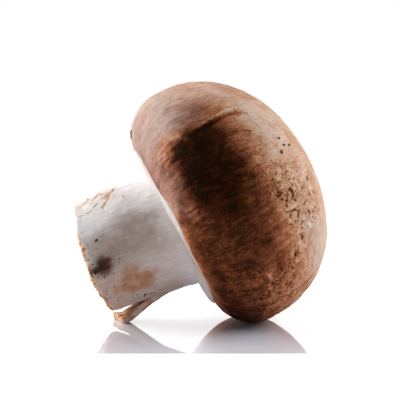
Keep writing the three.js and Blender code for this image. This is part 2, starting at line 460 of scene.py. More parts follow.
def turned_shape(outline: Sequence[tuple[float, float]], steps: int) -> bmesh.types.BMesh:
    """Spins an outline once round +Y.

    Args:
        outline: (radius, height) points in mm. It starts and ends on the axis, or it closes
            on itself.
        steps: How many faces go round.

    Returns:
        The closed shape.
    """
    bm = bmesh.new()
    verts = [bm.verts.new((0.0, height, radius)) for radius, height in outline]
    edges = [bm.edges.new(pair) for pair in zip(verts, verts[1:])]
    if outline[0][0] > 0:
        edges.append(bm.edges.new((verts[-1], verts[0])))
    bmesh.ops.spin(bm, geom=verts + edges, cent=(0, 0, 0), axis=(0, 1, 0), dvec=(0, 0, 0),
                   angle=math.tau, steps=steps, use_merge=True)
    bmesh.ops.remove_doubles(bm, verts=bm.verts, dist=1e-5)
    return bm


def outline_steps(corners: Sequence[tuple[float, float]], step: float) -> list[tuple[float, float]]:
    """Divides a polyline into steps of about one length.

    Args:
        corners: The polyline's points, in mm.
        step: Longest step, in mm.

    Returns:
        The divided polyline.
    """
    points = [corners[0]]
    for (x0, y0), (x1, y1) in zip(corners, corners[1:]):
        count = max(1, math.ceil(math.hypot(x1 - x0, y1 - y0) / step))
        points += [(x0 + (x1 - x0) * i / count, y0 + (y1 - y0) * i / count)
                   for i in range(1, count + 1)]
    return points


# ---- finishes


def washed(tree: NodeTree, colour: object, washes: Iterable[tuple]) -> NodeSocket:
    """Adds nodes that lay colours over one another.

    Args:
        tree: The material's node tree.
        colour: The lowest colour, as linear RGBA or as a socket.
        washes: Pairs of a mask and the colour that it lays on top, from the lowest up.

    Returns:
        The socket with the finished colour.
    """
    for mask, wash in washes:
        colour = add_node(tree, "Mix", MIX_RESULT, {MIX_FACTOR: mask, MIX_A: colour, MIX_B: wash},
                          data_type="RGBA")
    return colour


def ramp(tree: NodeTree, value: NodeSocket,
         colours: Sequence[str]) -> NodeSocket:
    """Adds nodes that blend evenly spaced colours.

    Args:
        tree: The material's node tree.
        value: A socket that gives 0 for the first colour and 1 for the last.
        colours: sRGB hex colours.

    Returns:
        The socket with the blended colour.
    """
    count = len(colours) - 1
    shares = [add_node(tree, "MapRange", "Result", {
        "Value": value, "From Min": i / count, "From Max": (i + 1) / count}) for i in range(count)]
    return washed(tree, linear(colours[0]), zip(shares, map(linear, colours[1:])))


def weighted(tree: NodeTree, value: NodeSocket | float,
             parts: Sequence[tuple[NodeSocket, object]]) -> NodeSocket:
    """Adds nodes that sum a value and weighted parts.

    Args:
        tree: The material's node tree.
        value: The start of the sum.
        parts: Sockets with their weights, which are numbers or sockets.

    Returns:
        The socket with the sum.
    """
    for part, weight in parts:
        value = add_node(tree, "Math", "Value", {0: part, 1: weight, 2: value},
                         operation="MULTIPLY_ADD")
    return value


def mottling(tree: NodeTree, place: NodeSocket, scale: float,
             detail: float = 3.0, roughness: float = 0.6, bend: float = 0.0,
             fade: tuple[float, float] = (0.3, 0.7), low: float = -1.0) -> NodeSocket:
    """Adds nodes for an irregular pattern.

    Args:
        tree: The material's node tree.
        place: The socket with the position that the pattern reads.
        scale: How many blotches there are in a unit of the position.
        detail: How many smaller sizes are laid over the largest.
        roughness: How strong the smaller sizes are.
        bend: How far the blotches are bent out of shape.
        fade: The raw noise that gives low, and the one that gives 1.
        low: The pattern's lowest value.

    Returns:
        The socket with the pattern, between low and 1.
    """
    raw = add_node(tree, "TexNoise", "Fac", {
        "Vector": place, "Scale": scale, "Detail": detail, "Roughness": roughness, "Distortion": bend})
    return add_node(tree, "MapRange", "Result", {
        "Value": raw, "From Min": fade[0], "From Max": fade[1], "To Min": low})


class Finish:
    """A material, named for what it is and for how its surface was made."""

    NAME = ""

    def sockets(self, tree: NodeTree) -> dict[str, object]:
        """Adds the finish's nodes.

        Args:
            tree: The material's node tree.

        Returns:
            Shader socket name to the number, colour or output socket that feeds it.
        """
        raise NotImplementedError

    def material(self) -> Material:
        """Builds the material.

        Returns:
            The material, under the finish's name.
        """
        made = bpy.data.materials.new(self.NAME)
        made.use_nodes = True
        shader = made.node_tree.nodes["Principled BSDF"]
        for name, value in self.sockets(made.node_tree).items():
            connect(made.node_tree, shader.inputs[name], value)
        return made


@dataclass(frozen=True)
class MushroomSkin(Finish):
    """Brown mushroom cuticle, grown: satin and finely fibrous from the edge towards the top. It
    runs from cream through tan to nearly black where bruised, with painted shade deepening the
    bruise and the side towards the table, and a painted sheen of pale grey-pink, mostly along the
    upper edge. It is broken into small cream scales where it dried, with painted shade in the
    sunken gaps and pits."""

    axes: GrowthAxes
    # Colours from cream to nearly black; the darkest ones also paint the shade over the bruise.
    pigment_and_shade: tuple[str, ...] = ("f2d4bf", "dfab87", "be7a53", "844a2f", "4a2411", "1b0a02")
    # Pale grey-pink colours of the painted sheen.
    painted_sheen: tuple[str, ...] = ("dcc6b8", "b99d92", "8c695c", "5e4033")
    cream: str = "efcda6"
    # Painted shade in the pits, darker where they are deeper.
    pit: str = "33180d"
    scar: str = "f6efe8"
    roughness: float = 0.6
    specular: float = 0.025

    NAME = "mushroom_cuticle_grown"

    def sockets(self, tree: NodeTree) -> dict[str, object]:
        """Adds the finish's nodes, which read the cap's own attributes.

        Args:
            tree: The material's node tree.

        Returns:
            Shader socket name to what feeds it.
        """
        local = self.axes.local_millimetres(tree)
        masks = {name: add_node(tree, "Attribute", "Fac", attribute_name=name)
                 for name in ("pigment_and_shade", "painted_sheen", "scaly", "pits", "scar")}
        grain = add_node(tree, "Attribute", "Vector", attribute_name="grain")
        coarse, fine = (    # fibres: mm apart, mm long, and how crooked they are
            mottling(tree, add_node(tree, "Mapping", "Vector", {
                "Vector": grain, "Scale": (1 / apart, 1 / apart, 1 / length)}), 1.0, bend=bend)
            for apart, length, bend in ((1.0, 3.4, 1.0), (0.4, 1.2, 0.7)))
        pores = mottling(tree, local, 1.6)                  # 0.6 mm apart
        mottle = mottling(tree, local, 0.27, 5.0, 0.66)     # 4 mm apart

        # Dried skin: curled gaps and pale flecks, 0.5 to 1.5 mm across. The gaps are sunk and darkened
        # with painted shade.
        curls = add_node(tree, "TexNoise", "Fac", {
            "Vector": local, "Scale": 0.78, "Detail": 2.5, "Roughness": 0.55, "Distortion": 1.3})
        gaps, flecks = (
            add_node(tree, "MapRange", "Result", {"Value": curls, "From Min": low, "From Max": high},
                     interpolation_type="SMOOTHSTEP")
            for low, high in ((0.53, 0.66), (0.44, 0.34)))
        broken = weighted(tree, 0.0, ((gaps, 1.0), (flecks, -0.7)))
        driest = add_node(tree, "MapRange", "Result", {
            "Value": masks["scaly"], "From Min": 0.65, "To Max": 0.6})
        scaly, masks["cream"] = (
            add_node(tree, "Math", "Value", {0: marks, 1: share}, operation="MULTIPLY")
            for marks, share in ((broken, masks["scaly"]), (flecks, driest)))

        depth = weighted(tree, masks["pigment_and_shade"], (
            (coarse, 0.085), (fine, 0.05), (pores, 0.05), (mottle, 0.1), (scaly, 0.45)))
        washes = (("painted_sheen", ramp(tree, depth, self.painted_sheen)), ("cream", linear(self.cream)),
                  ("pits", linear(self.pit)), ("scar", linear(self.scar)))
        height = weighted(tree, 0.0, ((coarse, 0.4), (fine, 0.3), (pores, 0.35), (scaly, -3.0)))
        return {
            "Base Color": washed(tree, ramp(tree, depth, self.pigment_and_shade),
                                 [(masks[name], colour) for name, colour in washes]),
            "Normal": add_node(tree, "Bump", "Normal", {
                "Height": height, "Strength": 0.7, "Distance": 0.09 * MM}),
            "Roughness": self.roughness, "Specular IOR Level": self.specular,
        }


@dataclass(frozen=True)
class StemFlesh(Finish):
    """White mushroom flesh, trimmed with a knife: matt and softly fibrous along the stem, with a
    greenish-grey tone and painted shade across its front, tan stains, a dark bruise and a dried
    brown cut."""

    axes: GrowthAxes
    flesh: str = "f0ebea"
    # Greenish-grey tone that also paints shade across the front of the stem.
    olive_and_shade: str = "ae9c90"
    stain: tuple[str, ...] = ("c6966e", "a96c42")
    torn: tuple[str, ...] = ("ecd3ae", "c78a55", "8c5a36")
    smear: tuple[str, ...] = ("957a70", "5a3424", "281108")
    roughness: float = 0.68
    specular: float = 0.22

    NAME = "mushroom_flesh_trimmed"

    def sockets(self, tree: NodeTree) -> dict[str, object]:
        """Adds the finish's nodes, which read the stem's own attributes.

        Args:
            tree: The material's node tree.

        Returns:
            Shader socket name to what feeds it.
        """
        olive_and_shade, stain, torn, smear = (add_node(tree, "Attribute", "Fac", attribute_name=name)
                                     for name in ("olive_and_shade", "stain", "torn", "smear"))
        grain = add_node(tree, "Attribute", "Vector", attribute_name="grain")
        # Blotches in the stains, 2 mm apart.
        mottle = mottling(tree, self.axes.local_millimetres(tree), 0.5, 4.0,
                          fade=(0.35, 0.65), low=0.0)
        # Fibres: 0.7 mm apart round the stem and about 5 mm long.
        along = add_node(tree, "Mapping", "Vector", {"Vector": grain, "Scale": (1.5, 1.5, 0.2)})
        fibres = add_node(tree, "TexNoise", "Fac", {
            "Vector": along, "Scale": 1.0, "Detail": 4.0, "Roughness": 0.6, "Distortion": 0.4})
        streaks = add_node(tree, "MapRange", "Result", {
            "Value": fibres, "From Min": 0.35, "From Max": 0.65, "To Min": 0.9, "To Max": 1.06})
        smeared = add_node(tree, "MapRange", "Result", {"Value": smear, "From Max": 0.7})
        colour = washed(tree, linear(self.flesh), (
            (olive_and_shade, linear(self.olive_and_shade)), (stain, ramp(tree, mottle, self.stain)),
            (torn, ramp(tree, mottle, self.torn)), (smeared, ramp(tree, smear, self.smear))))
        return {
            "Base Color": add_node(tree, "VectorMath", "Vector", {0: colour, "Scale": streaks},
                                   operation="SCALE"),
            "Normal": add_node(tree, "Bump", "Normal", {
                "Height": fibres, "Strength": 0.6, "Distance": 0.12 * MM}),
            "Roughness": self.roughness, "Specular IOR Level": self.specular,
        }


@dataclass(frozen=True)
class VeilTissue(Finish):
    """White veil tissue, stretched thin: matt and cottony, with painted shade that makes it greyer
    above and in its folds, and darker and warmer in front beside the stem.
    """

    tissue: str = "f6efeb"
    # Painted shade: greyer above and in the folds, and darker and warmer in front beside the stem.
    shaded: str = "cbc4c0"
    warm_shade: str = "bfafa5"
    edge: str = "d9c3a6"
    roughness: float = 0.8

    NAME = "mushroom_veil_stretched"

    def sockets(self, tree: NodeTree) -> dict[str, object]:
        """Adds the nodes that tint the tissue where the veil's own attributes say.

        Args:
            tree: The material's node tree.

        Returns:
            Shader socket name to what feeds it.
        """
        tints = (("shaded", self.shaded), ("warm_shade", self.warm_shade), ("edge", self.edge))
        return {"Roughness": self.roughness, "Base Color": washed(tree, linear(self.tissue), [
            (add_node(tree, "Attribute", "Fac", attribute_name=name), linear(tint))
            for name, tint in tints])}


@dataclass(frozen=True)
class DriedPeat(Finish):
    """Black peat, dried: dull, crumbly and nearly black, with a few brown fibres."""

    dark: str = "1c1512"
    fibre: str = "4a3628"
    roughness: float = 0.95

    NAME = "peat_dried"

    def sockets(self, tree: NodeTree) -> dict[str, object]:
        """Adds the nodes for the fibres, 0.2 mm across.

        Args:
            tree: The material's node tree.

        Returns:
            Shader socket name to what feeds it.
        """
        fibres = mottling(tree, add_node(tree, "TexCoord", "Object"), 5000.0, 2.0, 0.5,
                          fade=(0.5, 0.75), low=0.0)
        return {"Roughness": self.roughness,
                "Base Color": washed(tree, linear(self.dark), [(fibres, linear(self.fibre))])}


@dataclass(frozen=True)
class PolishedAcrylic(Finish):
    """White acrylic, polished: a cool white sheet that mirrors softly. It ends a little in front
    of the mushroom, where a matt white surface begins, and fades into the room far away."""

    forward: tuple[float, float, float]                 # level direction towards the front
    gloss_ends: tuple[float, float] = (0.0402, 0.0415)  # metres in front of the middle
    fades: tuple[float, float] = (0.24, 0.33)           # metres from the middle
    cool: str = "eaeaf3"
    matt: str = "ffffff"

    NAME = "acrylic_polished_white"

    def sockets(self, tree: NodeTree) -> dict[str, object]:
        """Adds the finish's nodes.

        Args:
            tree: The material's node tree.

        Returns:
            Shader socket name to what feeds it.
        """
        place = add_node(tree, "TexCoord", "Object")
        away = add_node(tree, "VectorMath", "Value", {0: place}, operation="LENGTH")
        ahead = add_node(tree, "VectorMath", "Value", {0: place, 1: self.forward},
                         operation="DOT_PRODUCT")
        fed = {}
        for socket, value, ends, inner, outer in (  # with the socket's value before and past the ends
                ("Specular IOR Level", ahead, self.gloss_ends, 0.5, 0.0),
                ("Roughness", ahead, self.gloss_ends, 0.02, 0.6),
                ("Emission Strength", ahead, self.gloss_ends, 0.0, 0.15),
                ("Alpha", away, self.fades, 1.0, 0.0)):
            fed[socket] = add_node(tree, "MapRange", "Result", {
                "Value": value, "From Min": ends[0], "From Max": ends[1], "To Min": inner,
                "To Max": outer}, interpolation_type="SMOOTHSTEP")
        past = add_node(tree, "MapRange", "Result", {
            "Value": ahead, "From Min": self.gloss_ends[0], "From Max": self.gloss_ends[1]})
        return fed | {
            "Base Color": washed(tree, linear(self.cool), [(past, linear(self.matt))]),
            "Emission Color": linear(self.matt),
        }


# ---- cap


@dataclass(frozen=True)
class CapOutline:
    """The cap's side outline in mm: a flat underside, a rolled edge and a dome."""

    radius: float = 30.0
    height: float = 35.6
    widest_at: float = 10.7         # height of the widest ring above the underside
    dome_power: float = 2.18        # 2 is an ellipse, and more is squarer
    roll: float = 10.4              # how far the edge rolls in
    samples: int = 300              # in each half, for measuring along it

    def reach(self, directions: np.ndarray) -> np.ndarray:
        """Distance from the middle of the widest ring to the outside, along unit directions.

        Args:
            directions: Unit vectors, one row each, with +Y towards the dome.

        Returns:
            One distance in mm for each direction.
        """
        out = np.hypot(directions[:, 0], directions[:, 2])
        up = directions[:, 1]
        p = self.dome_power
        dome = self.height - self.widest_at
        above = ((out / self.radius) ** p + (np.maximum(up, 0) / dome) ** p) ** (-1 / p)
        down = np.maximum(-up, 1e-9)
        flat_radius = self.radius - self.roll
        flat = self.widest_at / down
        a = (out / self.roll) ** 2 + (down / self.widest_at) ** 2
        b = out * flat_radius / self.roll ** 2
        c = (flat_radius / self.roll) ** 2 - 1
        rolled = (b + np.sqrt(np.maximum(b * b - a * c, 0))) / a
        below = np.where(flat * out <= flat_radius, flat, rolled)
        return np.where(up >= 0, above, below)

    def runs(self) -> tuple[np.ndarray, np.ndarray]:
        """Measures the way along the skin.

        Returns:
            Heights up the outline in mm, and the run from the margin plane to each.
        """
        turn = np.linspace(0, math.pi / 2, self.samples)
        low = self.widest_at * (1 - np.cos(turn))
        share = 1 - (1 - low / self.widest_at) ** 2
        low_radius = self.radius - self.roll + self.roll * np.sqrt(np.maximum(share, 0))
        high = self.widest_at + (self.height - self.widest_at) * np.sin(turn)[1:]
        rest = ((high - self.widest_at) / (self.height - self.widest_at)) ** self.dome_power
        high_radius = self.radius * np.maximum(1 - rest, 0) ** (1 / self.dome_power)
        heights = np.concatenate([low, high])
        radii = np.concatenate([low_radius, high_radius])
        steps = np.hypot(np.diff(heights), np.diff(radii))
        return heights, np.concatenate([[0.0], np.cumsum(steps)])


@dataclass
class Cap:
    """The brown cap, as one closed skin over the flesh."""

    axes: GrowthAxes
    outline: CapOutline = field(default_factory=CapOutline)
    cuts: int = 117                 # across each face of the cube that swells to the cap
    out_of_round: float = 0.01
    dent_height: float = 12.5       # middle of a shallow dent in the front, above the margin plane
    dent_bearing: float = -19.0
    dent_radius: float = 11.0
    dent_depth: float = 0.9
    pits_seed: int = 5

    PIGMENT_AND_SHADE = (  # washes of brown, some of them painted shade
        Patch(-41.8, -6, 11.6, 24, (4.4, 20, 2.2, 3), 0.93),  # the dark bruise, deepened with painted shade
        Patch(-40, -14, 14.5, 22.5, (5, 12, 2.5, 2.5), 0.6),  # its darkest part, where painted shade deepens the bruise most
        Patch(-36.9, 31.1, 4.6, 25, (14.7, 21.3, 7, 6), 0.62),  # brown front
        Patch(22, 84, 5, 16.4, (30, 26, 2, 6.1), 0.7),  # painted shade, darker towards the table
        Patch(34, 95, 14, 33, (14, 24, 4, 5), 0.1),  # above that
        Patch(-14, 22, 13, 24.5, (8, 12, 3, 3), 0.26),  # the middle of the front
        Patch(-14, -2, 6.2, 9.5, (5, 5, 1.2, 2.5), 0.34),  # a smudge above the veil
        Patch(-64, -24, -2, 3.4, (6, 6, 1, 1.2), 0.3),  # the rim beside the veil
        Patch(15, 42, 14, 27, (8, 10, 3, 4), 0.15),  # the lower side of the front
        Patch(-60.1, -31.9, 16.5, 28.6, (8.1, 5, 2.3, 6), 0.4),  # beside the fold
        Patch(-112, 120, -5.3, 27, (24.9, 20.8, 6.6, 5), 0.26),  # all of the lower skin
        Patch(-36, 8, 24, 31.5, (6, 16, 2.5, 6), 0.36),  # above the bruise
        Patch(-134, -61, 28.1, 41.6, (27.1, 15.5, 4.7, 10), 0.32),  # upper left
        Patch(1, 84, 0.9, 9.5, (13.7, 26, 1.7, 2), 0.4),  # the edge, table side
        Patch(-90, -30, 1, 10.7, (30, 7, 1.5, 4.7), 0.26),  # the edge, upper side
        Patch(-16, 38.4, 26.5, 41, (10.4, 10.3, 2.5, 4), 0.15),  # dried scales
        Patch(100, 205, 4, 22, (25, 30, 3, 7), 0.55),  # brown back
        Patch(120, 170, 9, 19, (14, 14, 3, 4), 0.4),  # a bruise at the back
        Patch(205, 250, 14, 30, (16, 16, 5, 6), 0.35),  # another, further up
    )
    PAINTED_SHEEN = (  # painted sheen: pale grey-pink where the satin skin catches the light
        Patch(-150, -47, -5, 20, (30, 6, 5, 5), 0.95),  # the upper edge
        Patch(-150, -54, 17, 35, (30, 8, 5, 8), 0.5),  # above that, thinner
        Patch(-52, -12, -2, 9.5, (8, 10, 3, 2.5), 0.6),  # beside the veil, in front
        Patch(24, 62, 31, 38, (8, 12, 2, 3), 0.45),  # beside the scar
        Patch(70, 210, 46, 75, (40, 40, 5, 5), 0.2),  # the top of the dome
    )
    SCALY = (  # skin dried to scales
        Patch(-9, 30, 27.6, 38.5, (5, 6, 1.8, 4), 1),  # the driest patch, on the shoulder
        Patch(4, 34, 37, 42, (6, 6, 2, 3), 0.55),  # above that
        Patch(-55, -5, 26, 39, (10, 8, 2, 5.5), 0.35),  # above the bruise
        Patch(30, 84, 15, 31, (8, 14, 3, 4), 0.6),  # towards the table
        Patch(24, 80, 8, 16, (10, 14, 3, 3), 0.4),  # below that
        Patch(150, 200, 26, 36, (10, 10, 2.5, 4), 0.6),  # at the back
    )
    PITS = tuple(Mark(*row) for row in (  # bearing, run, half sizes, depth and turn
        (6.5, 42, 0.75, 0.85, 0.5), (10.5, 37.7, 0.4, 0.4, 0.3), (21.5, 40, 0.5, 0.5, 0.3),
        (27.5, 39.5, 0.45, 0.4, 0.3), (9.5, 33, 0.55, 0.55, 0.35), (7.5, 30.4, 0.35, 0.5, 0.3),
        (1, 29.7, 0.35, 0.45, 0.3), (-5, 29.2, 0.3, 0.6, 0.25), (14, 29.4, 0.6, 0.4, 0.3),
        (18.5, 30.4, 0.6, 0.5, 0.4), (28, 30.2, 0.65, 0.75, 0.6), (32.5, 26.7, 0.95, 0.55, 0.6, -25),
        (40.5, 29.7, 0.35, 0.9, 0.3), (27, 34.9, 1.3, 0.3, 0.25, 12), (-7.5, 37.7, 0.9, 0.3, 0.2),
        (0, 38.2, 0.9, 0.3, 0.2), (-11, 32.5, 0.35, 0.5, 0.25), (-11, 25.7, 0.85, 0.5, 0.3),
        (5, 34, 0.35, 0.35, 0.2), (15, 34.5, 0.4, 0.35, 0.25), (21, 36.5, 0.35, 0.35, 0.2),
        (3, 32, 0.3, 0.35, 0.2), (23, 32, 0.35, 0.35, 0.2), (-53.5, 44, 2.2, 0.35, 0.15, 14),
        (-59.5, 35, 1, 0.9, 0.1), (38, 14, 0.45, 0.4, 0.25), (44, 12.5, 0.5, 0.4, 0.3),
        (48, 18, 0.5, 0.4, 0.2), (31, 21.2, 1.7, 0.35, 0.2, 10), (-40.5, 22.3, 1, 0.8, 0.35),
        (140, 30, 0.6, 0.5, 0.35), (165, 33, 0.5, 0.5, 0.3), (190, 28, 0.6, 0.4, 0.3),
        (230, 36, 0.5, 0.5, 0.3), (-46, 42.6, 0.5, 0.35, 0.2), (-41, 35.7, 0.55, 0.3, 0.2),
        (-52, 31, 0.6, 0.3, 0.2), (-75, 29, 0.6, 0.3, 0.2), (-68, 31, 0.7, 0.3, 0.2),
        (28, 15.4, 0.7, 0.4, 0.25), (45, 10.5, 0.5, 0.4, 0.25), (61, 18.1, 0.6, 0.4, 0.25),
        (49, 17.2, 0.5, 0.4, 0.25), (45, 22.7, 0.6, 0.4, 0.2), (24, 40.2, 0.5, 0.4, 0.3),
        (28.5, 17.2, 1.2, 0.45, 0.35, 20), (30, 15.6, 0.8, 0.5, 0.3, -20), (36, 22.5, 0.6, 0.4, 0.25),
        (13, 31.6, 0.5, 0.5, 0.35), (17.5, 33, 0.5, 0.45, 0.35), (6.5, 32.2, 0.5, 0.4, 0.3),
        (20.5, 34.2, 0.45, 0.4, 0.3), (10, 35.6, 0.5, 0.35, 0.3, 20), (15.5, 36.8, 0.45, 0.4, 0.3),
        (25, 37.6, 0.5, 0.4, 0.3), (-2, 31.4, 0.5, 0.35, 0.25), (-7, 31, 0.5, 0.35, 0.25),
        (3.5, 29, 0.5, 0.35, 0.25),
    ))
    SCAR = Mark(26.5, 33.6, 1.5, 0.6, turn=20)              # a scrape down to the white flesh
    LIT_DENT = Mark(34.0, 18.9, 1.1, 0.45, 0.5, 15)             # a dent 0.5 mm deep, with a painted highlight that makes its colour paler
    SCATTER = (  # areas of small random pits: bearings, runs, how many
        (32, 80, 8, 26, 30), (80, 290, 12, 50, 70), (-70, 80, 40, 56, 12),
    )
    FOLD = ((-43.5, 19.6), (-44.2, 21.4), (-45.2, 23.6), (-46.5, 25.9), (-48.0, 28.0), (-48.6, 30.2),
            (-47.8, 32.2))
    WRINKLES = (
        ((-43.5, 12.6), (-42.6, 11.0), (-43.2, 9.2)), ((-41.0, 12.0), (-40.4, 10.2), (-41.0, 8.4)),
        ((-38.6, 11.4), (-38.0, 9.8), (-38.8, 8.2)), ((-36.0, 10.8), (-35.6, 9.4)),
        ((-12.5, 11.2), (-11.0, 9.6), (-11.4, 8.4)), ((-9.0, 11.0), (-8.2, 9.2), (-8.8, 8.2)),
        ((-6.0, 10.4), (-5.4, 8.8)),
    )
    UNEVEN = ((14.0, 3.1), (3.2, 11.7), (1.1, 23.9))    # size in mm and seed: slow, rough, fine

    def build(self) -> Object:
        """Builds the cap.

        Returns:
            The piece that stands for the CAD cap.
        """
        bm = bmesh.new()
        bmesh.ops.create_cube(bm, size=2.0)
        bmesh.ops.subdivide_edges(bm, edges=bm.edges[:], cuts=self.cuts, use_grid_fill=True)
        mesh = to_mesh(bm, "cap_skin")
        grown = self._grow(positions(mesh))
        set_positions(mesh, grown)
        relief, masks = self._relief(grown, self._skin_map(grown))
        world = self.axes.to_world(grown + normals(mesh) * relief[:, None])
        set_positions(mesh, pressed(world))
        set_attributes(mesh, masks)
        return add_piece(mesh, MushroomSkin(self.axes).material(), ["cap"])

    def _grow(self, block: np.ndarray) -> np.ndarray:
        """Swells a cube's grid to the cap's smooth shape.

        Args:
            block: Vertices on a cube that reaches from -1 to 1.

        Returns:
            The vertices in local mm.
        """
        spread = np.tan(block * math.pi / 4)
        directions = spread / np.linalg.norm(spread, axis=1, keepdims=True)
        points = directions * self.outline.reach(directions)[:, None]
        points[:, 1] += self.outline.widest_at
        bearing = bearings(points)
        swell = self.out_of_round * (np.sin(2 * bearing) + 0.5 * np.cos(3 * bearing))
        points[:, ::2] *= 1 + swell[:, None]
        angle = math.radians(self.dent_bearing)
        out = np.array([math.sin(angle), 0.0, math.cos(angle)])
        middle = out * self.outline.radius + np.array([0.0, self.dent_height, 0.0])
        dent = self.dent_depth * bell(np.linalg.norm(points - middle, axis=1), self.dent_radius)
        return points - out * dent[:, None]

    def _skin_map(self, points: np.ndarray) -> SkinMap:
        """Finds each vertex on the skin.

        Args:
            points: The smooth shape, in local mm.

        Returns:
            Bearings, runs that start where the edge rolls under, and radii.
        """
        heights, runs = self.outline.runs()
        radius = np.hypot(points[:, 0], points[:, 2])
        flat = self.outline.radius - self.outline.roll
        run = np.where(points[:, 1] < 0.01, np.minimum(radius - flat, 0.0),
                       np.interp(points[:, 1], heights, runs))
        return SkinMap(bearings(points), run, radius)

    def _scattered(self) -> list[Mark]:
        """Strews small pits in the scatter areas.

        Returns:
            The pits, at seeded random places.
        """
        chance = np.random.default_rng(self.pits_seed)
        marks = []
        for left, right, low, high, count in self.SCATTER:
            for _ in range(count):
                around, along, bearing, run, depth, turn = (chance.uniform(*span) for span in (
                    (0.3, 0.7), (0.3, 0.45), (left, right), (low, high), (0.15, 0.35), (-40, 40)))
                marks.append(Mark(bearing, run, around, along, depth, turn))
        return marks

    def _relief(self, points: np.ndarray, skin: SkinMap) -> tuple[np.ndarray, dict]:
        """Height of the skin's relief in mm, and the masks that colour it.

        Args:
            points: The smooth shape, in local mm.
            skin: Where each vertex lies on it.

        Returns:
            The relief, and a dict of attribute name to values.
        """
        grain = wound(skin.bearing, self.outline.radius, skin.run)
        slow, rough, fine = (noise_field(points, *grade) for grade in self.UNEVEN)
        fibres = noise_field(grain * (1.0, 1.0, 0.22), 0.9, 7.3, 2)
        warped = skin.shifted(0.045 * rough + 0.02 * fibres, 1.2 * rough + 1.3 * fibres)
        turn = np.degrees(skin.bearing)

        # The washes of brown and of painted shade, mottled, more so behind and on top, and paler beside
        # the veil.
        pigment_and_shade = layered(self.PIGMENT_AND_SHADE, warped) + 0.05 * noise_field(points, 5.0, 61.0)
        pigment_and_shade += 0.14 * smoothstep(75, 110, np.abs(turn)) * noise_field(points, 9.0, 41.0, 2)
        pigment_and_shade += smoothstep(36, 46, skin.run) * (0.11 + 0.13 * noise_field(points, 6.0, 53.0))
        pigment_and_shade *= 1 - 0.08 * smoothstep(3.0, 1.6, skin.run) * smoothstep(-30, -10, turn)

        # The fold: a thin pale crest 0.4 mm wide, with a hollow 1.1 mm beside it that is darkened with
        # painted shade.
        ends = smoothstep(19, 22, skin.run) * smoothstep(33, 28.5, skin.run)
        crest = bell(skin.from_path(self.FOLD), 0.22 + 0.08 * fine) * ends
        hollow = bell(skin.shifted(-1.1 / self.outline.radius).from_path(self.FOLD), 0.6)
        ridges = sum(bell(skin.from_path(path), 0.38) for path in self.WRINKLES)
        pigment_and_shade += 0.24 * hollow - 0.5 * crest - 0.22 * ridges * (0.6 + 0.8 * fine)

        # The relief, in mm, and the pits in it, each with painted shade that is darker where the pit is
        # deeper.
        scaly = layered(self.SCALY, warped)
        relief = 0.16 * slow + 0.1 * rough + 0.035 * fine + 0.06 * fibres * smoothstep(3, 7, skin.run)
        relief += 0.42 * crest - 0.35 * hollow + 0.3 * ridges
        relief += 0.26 * noise_field(points, 1.7, 17.0, 2) * scaly
        pits = np.zeros(len(points))
        for mark in (*self.PITS, *self._scattered()):
            hole = mark.on(skin)
            relief -= mark.depth * hole
            pits = np.maximum(pits, hole * min(1.0, 2.4 * mark.depth))
        # The dent: sunk into the relief, with a painted highlight that makes the brown paler there.
        lit_dent = self.LIT_DENT.on(skin)
        return relief - self.LIT_DENT.depth * lit_dent, {
            "grain": grain, "pigment_and_shade": np.clip(pigment_and_shade - 0.42 * lit_dent, 0, 1),
            "painted_sheen": layered(self.PAINTED_SHEEN, warped) * (1 - 0.7 * crest), "scaly": scaly,
            "pits": smoothstep(0.3, 0.9, pits),
            "scar": smoothstep(0.45, 0.8, self.SCAR.on(skin) + 0.3 * fine),
        }


# ---- veil


